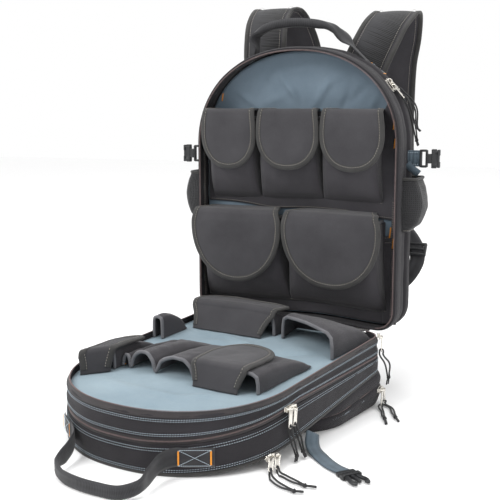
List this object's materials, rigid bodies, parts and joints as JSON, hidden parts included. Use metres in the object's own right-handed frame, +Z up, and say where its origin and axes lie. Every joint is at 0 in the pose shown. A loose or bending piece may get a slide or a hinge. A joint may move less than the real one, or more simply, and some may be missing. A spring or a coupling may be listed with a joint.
{
  "type": "tool backpack",
  "caption": "Soft tool backpack opened flat like a clamshell, with flap pockets, tool sleeves, padded shoulder straps, zips, webbing handles and side release buckles.",
  "frame": {"origin": "on the floor under the middle of the pack's box, measured without the loose pull cords", "axes": "+Z up, -Y towards the open front half and the viewer, +X to the right seen from there"},
  "size_m": [0.4538, 0.7174, 0.6256],
  "materials": {
    "cloth": "coarse woven nylon, matt",
    "gusset_cloth": "heavy woven nylon, matt",
    "rear_lining_cloth": "smooth woven lining, satin",
    "front_lining_cloth": "smooth woven lining, satin",
    "black_webbing": "ribbed woven webbing",
    "blue_webbing": "ribbed woven webbing",
    "black_mesh": "padded mesh",
    "zip_tape": "zip coil on woven tape",
    "black_plastic": "moulded, fine grain",
    "bright_metal": "polished plating",
    "cord_cloth": "braided cord"
  },
  "bodies": {
    "root": {"hinge_cloth": "cloth", "upper_pocket_left": "cloth", "upper_pocket_middle": "cloth", "upper_pocket_right": "cloth", "lower_pocket_left": "cloth", "lower_pocket_right": "cloth", "upper_flap_left": "cloth", "upper_flap_middle": "cloth", "upper_flap_right": "cloth", "lower_flap_left": "cloth", "lower_flap_right": "cloth", "shoulder_strap_left": "cloth", "shoulder_strap_right": "cloth", "left_flap_pocket": "cloth", "right_flap_pocket": "cloth", "hinge_flap_pocket": "cloth", "corner_pocket_left": "cloth", "corner_pocket_right": "cloth", "left_pocket_flap": "cloth", "right_pocket_flap": "cloth", "hinge_pocket_flap": "cloth", "tool_sleeves": "cloth", "rear_gusset": "gusset_cloth", "front_gusset": "gusset_cloth", "front_base": "gusset_cloth", "outer_pocket": "gusset_cloth", "rear_lining": "rear_lining_cloth", "front_lining": "front_lining_cloth", "top_handle": "black_webbing", "lower_strap_left": "black_webbing", "lower_strap_right": "black_webbing", "front_handle": "black_webbing", "strap_keeper": "black_webbing", "side_webbing_left": "blue_webbing", "side_webbing_right": "blue_webbing", "compression_strap": "blue_webbing", "back_panel": "black_mesh", "mesh_pocket_left": "black_mesh", "mesh_pocket_right": "black_mesh", "rear_main_zip": "zip_tape", "rear_compartment_zip": "zip_tape", "front_main_zip": "zip_tape", "front_middle_zip": "zip_tape", "side_buckle_left": "black_plastic", "side_buckle_right": "black_plastic", "male_buckle": "black_plastic", "main_slider": "bright_metal", "middle_sliders": "bright_metal", "base_sliders": "bright_metal", "pocket_sliders": "bright_metal", "rear_sliders": "bright_metal", "main_cord": "cord_cloth", "middle_cord_left": "cord_cloth", "middle_cord_right": "cord_cloth", "base_cord_left": "cord_cloth", "base_cord_right": "cord_cloth", "pocket_cord_left": "cord_cloth", "pocket_cord_right": "cord_cloth", "rear_cord_lower": "cord_cloth", "rear_cord_upper": "cord_cloth"}
  },
  "joints": []
}
